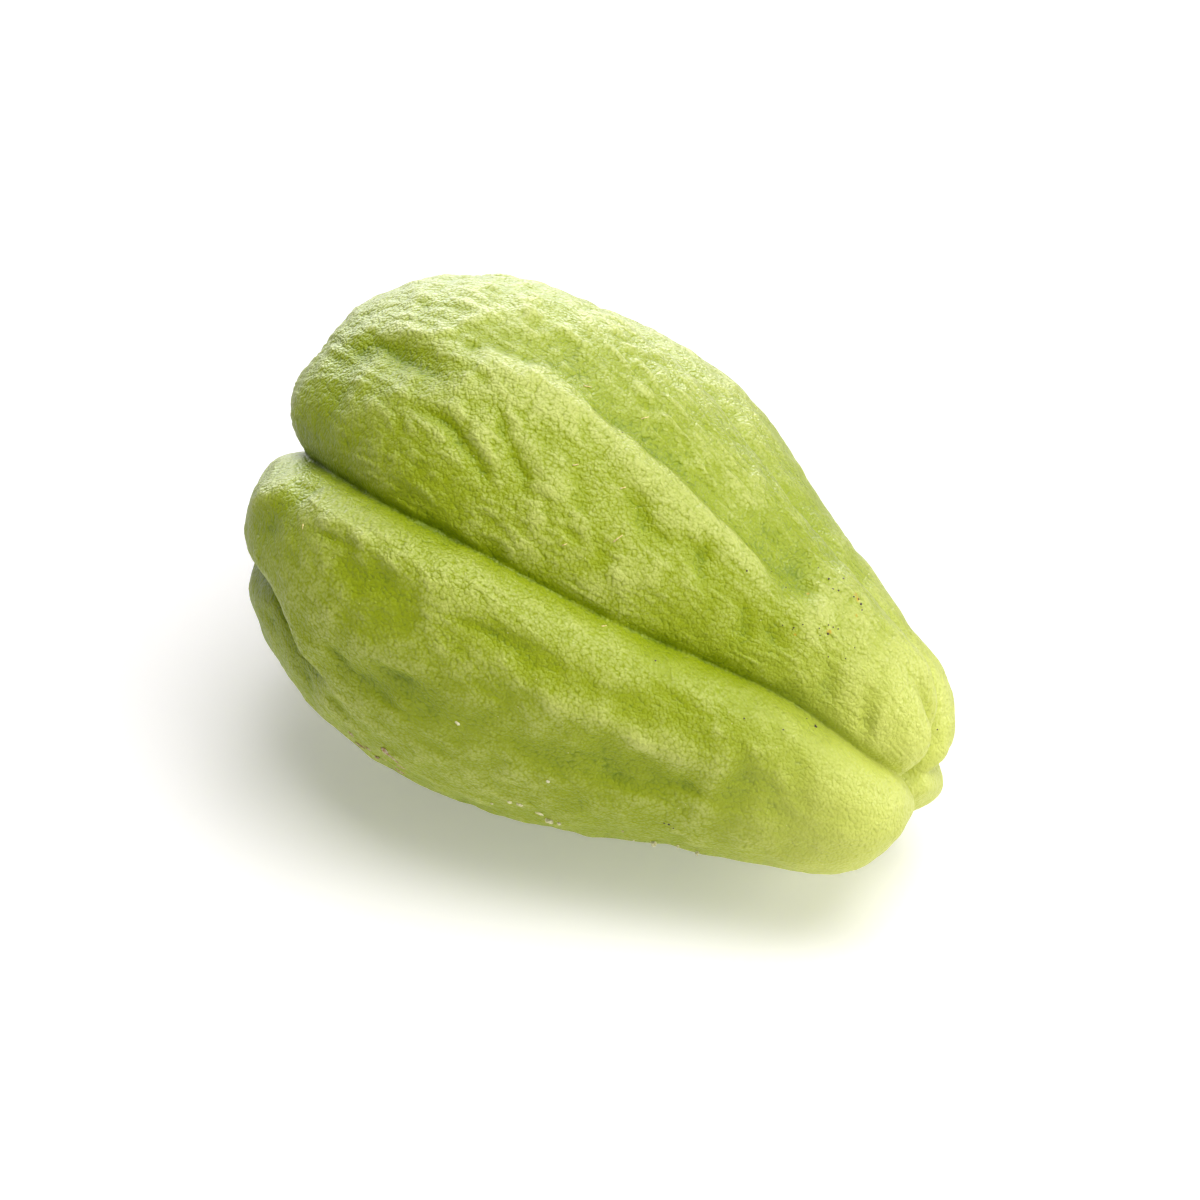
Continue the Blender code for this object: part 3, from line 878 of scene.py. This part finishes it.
SOIL_PALE = (0.10, 0.055, 0.05, 1)
SOIL_MOTTLE = (0.2 * MM, 0.03 * MM)


def add_crumb(bm, spot, size, turn, detail, unevenness):
    """A rough lump half sunk in the skin. Its size is half its length, width and height."""
    place, outward = place_on_skin(*spot)
    lump = bmesh.ops.create_icosphere(bm, subdivisions=detail, radius=1)["verts"]
    for v in lump:
        v.co *= 1 + unevenness * noise.noise(v.co * CRUMB_LUMPS + place / MM)
    crumb_frame = standing_on(place, outward, turn) @ Matrix.Diagonal((*size, 1))
    bmesh.ops.transform(bm, matrix=crumb_frame, verts=lump)


for name, crumbs, material in (
    ("prickle_stubs", STUBS, dry_material("stub_cream", STUB_DARK, STUB_PALE, *STUB_MOTTLE)),
    ("corky_scabs", SCABS, dry_material("scab_tan", SCAB_DARK, SCAB_PALE, *SCAB_MOTTLE)),
):
    crumb_bm = bmesh.new()
    for *spot, size, turn in crumbs:
        crumb_size = [half * MM for half in size]
        add_crumb(crumb_bm, spot, crumb_size, turn, CRUMB_DETAIL, CRUMB_UNEVENNESS)
    add_piece(name, crumb_bm, material)

soil_bm = bmesh.new()
for *spot, grain_radius in SOIL:
    grain_size = (grain_radius * MM, grain_radius * MM, grain_radius * MM / 2)
    add_crumb(soil_bm, spot, grain_size, 0, SOIL_DETAIL, SOIL_UNEVENNESS)
soil_brown = dry_material("soil_brown", SOIL_DARK, SOIL_PALE, *SOIL_MOTTLE)
add_piece("soil_grains", soil_bm, soil_brown)


def height_over_skin(point):
    """How far a point stands over the skin, at the nearest point of its mesh."""
    apart = np.array(point) - laid
    nearest = int((apart**2).sum(axis=1).argmin())
    return float(apart[nearest] @ normals[nearest])


straw_bm = bmesh.new()
for *spot, length, turn in STRAWS:
    place, outward = place_on_skin(*spot)
    straw = bmesh.ops.create_cone(
        straw_bm,
        cap_ends=True,
        segments=STRAW_SIDES,
        radius1=STRAW_RADIUS,
        radius2=STRAW_TIP_RADIUS,
        depth=length * MM,
        matrix=standing_on(place, outward, turn) @ Matrix.Rotation(math.pi / 2, 4, "Y"),
    )["verts"]
    # The straw is let down until its lowest point is in the skin
    lowest = min(height_over_skin(v.co) for v in straw)
    bmesh.ops.translate(straw_bm, vec=-outward * (lowest + STRAW_SINK), verts=straw)
straw_yellow = dry_material("straw_yellow", STRAW_DARK, STRAW_PALE, *STRAW_MOTTLE)
add_piece("straw_bits", straw_bm, straw_yellow)

# The studio
# A plain white floor glows a little under a pale sky that is dimmer at the left front. A large soft
# light hangs overhead, one stands at the right and a weak one at the left front. Four more act on
# gloss alone, for the whitish sheen on the top and the far side.

FLOOR_SIDE = 8
FLOOR_WHITE = (0.95, 0.925, 0.935, 1)
FLOOR_ROUGHNESS = 0.9
FLOOR_SPECULAR = 0.1
FLOOR_GLOW = (1, 0.99, 0.98, 1)
FLOOR_GLOW_STRENGTH = 0.28
SKY_WHITE = (1, 1, 1, 1)
SKY_STRENGTH = 0.24
SKY_DIMMING = 0.19
DIM_SIDE = (-0.42, -0.91, 0)
DIM_EDGE = (-0.3, 0.5)
LAMP_AIM = (0, 0, 0.03)
LAMPS = [  # (name, place, width, height, power, lights the surface, shows as gloss)
    ("overhead", (0.25, -0.05, 1.1), 0.8, 0.8, 10.6, True, True),
    ("right", (1.0, -0.02, 0.52), 0.7, 0.7, 4.0, True, True),
    ("fill", (-0.6, -0.9, 0.4), 0.9, 0.9, 0.4, True, False),
    ("sheen", (-0.7, 1.05, 0.5), 1.4, 0.9, 42, False, True),
    ("top_sheen", (-0.1, 0.3, 1.2), 1.0, 1.0, 16, False, True),
    ("left_sheen", (-1.2, 0.48, 0.3), 0.5, 0.6, 4, False, True),
    ("right_sheen", (0.95, 0.75, 0.2), 0.8, 0.6, 17, False, True),
]

floor_bm = bmesh.new()
bmesh.ops.create_grid(floor_bm, x_segments=1, y_segments=1, size=FLOOR_SIDE / 2)
floor_mesh = bpy.data.meshes.new("floor")
floor_bm.to_mesh(floor_mesh)
floor_bm.free()
floor = bpy.data.objects.new("floor", floor_mesh)
bpy.context.scene.collection.objects.link(floor)
floor_material, floor_shader, _ = new_material("floor_white")
floor_shader.inputs["Base Color"].default_value = FLOOR_WHITE
floor_shader.inputs["Roughness"].default_value = FLOOR_ROUGHNESS
floor_shader.inputs["Specular IOR Level"].default_value = FLOOR_SPECULAR
floor_shader.inputs["Emission Color"].default_value = FLOOR_GLOW
floor_shader.inputs["Emission Strength"].default_value = FLOOR_GLOW_STRENGTH
floor_mesh.materials.append(floor_material)

world = bpy.data.worlds.new("studio")
world.use_nodes = True
sky = Shade(world.node_tree)
seen = sky.node("ShaderNodeLightPath", {}, {}, "Is Camera Ray")
backdrop = world.node_tree.nodes["Background"]
backdrop.inputs["Color"].default_value = SKY_WHITE
bearing = sky.node("ShaderNodeTexCoord", {}, {}, "Generated")
dim_side = sky.vector_math("DOT_PRODUCT", bearing, DIM_SIDE, output="Value")
sky_light = SKY_STRENGTH - SKY_DIMMING * dim_side.between(*DIM_EDGE)
connect(backdrop, "Strength", seen + (1 - seen) * sky_light)
bpy.context.scene.world = world

for name, place, width, tall, power, lights_surface, shows_as_gloss in LAMPS:
    light = bpy.data.lights.new(name, "AREA")
    light.shape = "RECTANGLE"
    light.size = width
    light.size_y = tall
    light.energy = power
    lamp = bpy.data.objects.new(name, light)
    lamp.location = place
    lamp.rotation_euler = (Vector(LAMP_AIM) - Vector(place)).to_track_quat("-Z", "Y").to_euler()
    lamp.visible_diffuse = lights_surface
    lamp.visible_glossy = shows_as_gloss
    bpy.context.scene.collection.objects.link(lamp)

# The camera
# It looks down from the front right through a long lens, with the stem end nearer, as the
# photograph was taken. The fit to the fruit's outline gave its place.

LENS = 100
SENSOR_WIDTH = 36
CLIP_START = 0.01
AZIMUTH = 31.5 * DEG
ELEVATION = 37 * DEG
DISTANCE = 0.539
AIM = Vector((-0.00095, 0.00059, 0.0373))

camera_data = bpy.data.cameras.new("camera")
camera_data.lens = LENS
camera_data.sensor_width = SENSOR_WIDTH
camera_data.clip_start = CLIP_START
camera = bpy.data.objects.new("camera", camera_data)
level = math.cos(ELEVATION)
away = Vector((math.sin(AZIMUTH) * level, -math.cos(AZIMUTH) * level, math.sin(ELEVATION)))
camera.location = AIM + away * DISTANCE
camera.rotation_euler = away.to_track_quat("Z", "Y").to_euler()
bpy.context.scene.collection.objects.link(camera)
bpy.context.scene.camera = camera
bpy.context.scene.view_settings.view_transform = "Standard"

bpy.context.view_layer.update()
